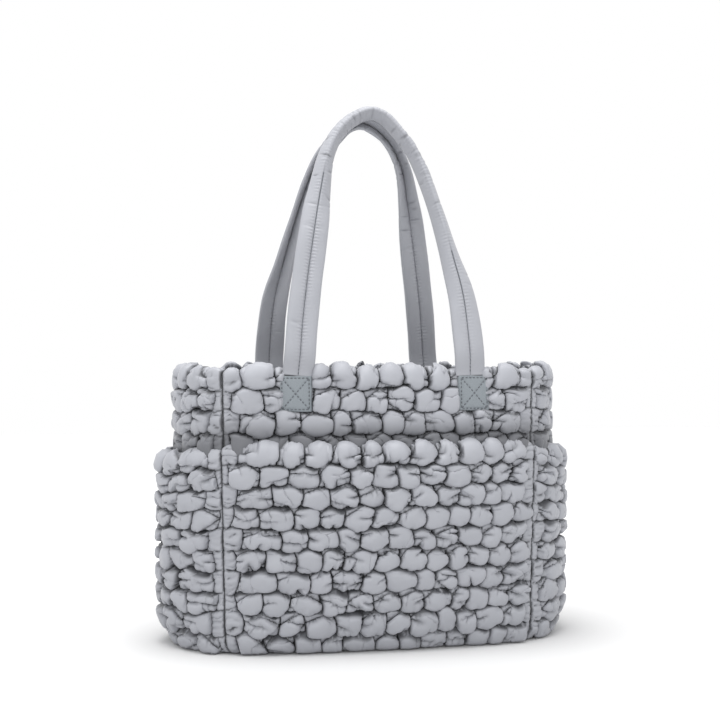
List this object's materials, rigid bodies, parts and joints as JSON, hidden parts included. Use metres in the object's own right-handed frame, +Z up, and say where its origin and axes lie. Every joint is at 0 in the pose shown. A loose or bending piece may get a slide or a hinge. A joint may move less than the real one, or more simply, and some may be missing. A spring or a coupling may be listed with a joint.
{
  "type": "quilted tote bag",
  "caption": "Open-topped tote bag of stuffed, brick-quilted nylon with a full-width front pocket, side pockets and padded strap handles sewn on with square patches.",
  "frame": {"origin": "middle of the base panel's flat underside, on the surface that the bag stands on", "axes": "+Z up, +X to the right of someone facing the front pocket, and the front faces -Y"},
  "size_m": [0.4696, 0.216, 0.5898],
  "materials": {
    "quilted_nylon": "pale blue-grey plain-weave nylon over stuffed puffs, soft sheen",
    "strap_nylon": "pale blue-grey padded nylon strap with a stitched middle line",
    "patch_twill": "flat grey-blue twill patch with crossed box stitching",
    "base_nylon": "plain flat grey nylon base panel, matt"
  },
  "bodies": {
    "root": {"front_panel": "quilted_nylon", "back_panel": "quilted_nylon", "left_gusset": "quilted_nylon", "right_gusset": "quilted_nylon", "base_panel": "base_nylon", "front_pocket": "quilted_nylon", "left_pocket": "quilted_nylon", "right_pocket": "quilted_nylon", "front_handle": "strap_nylon", "back_handle": "strap_nylon", "front_left_patch": "patch_twill", "front_right_patch": "patch_twill", "back_left_patch": "patch_twill", "back_right_patch": "patch_twill"}
  },
  "joints": []
}
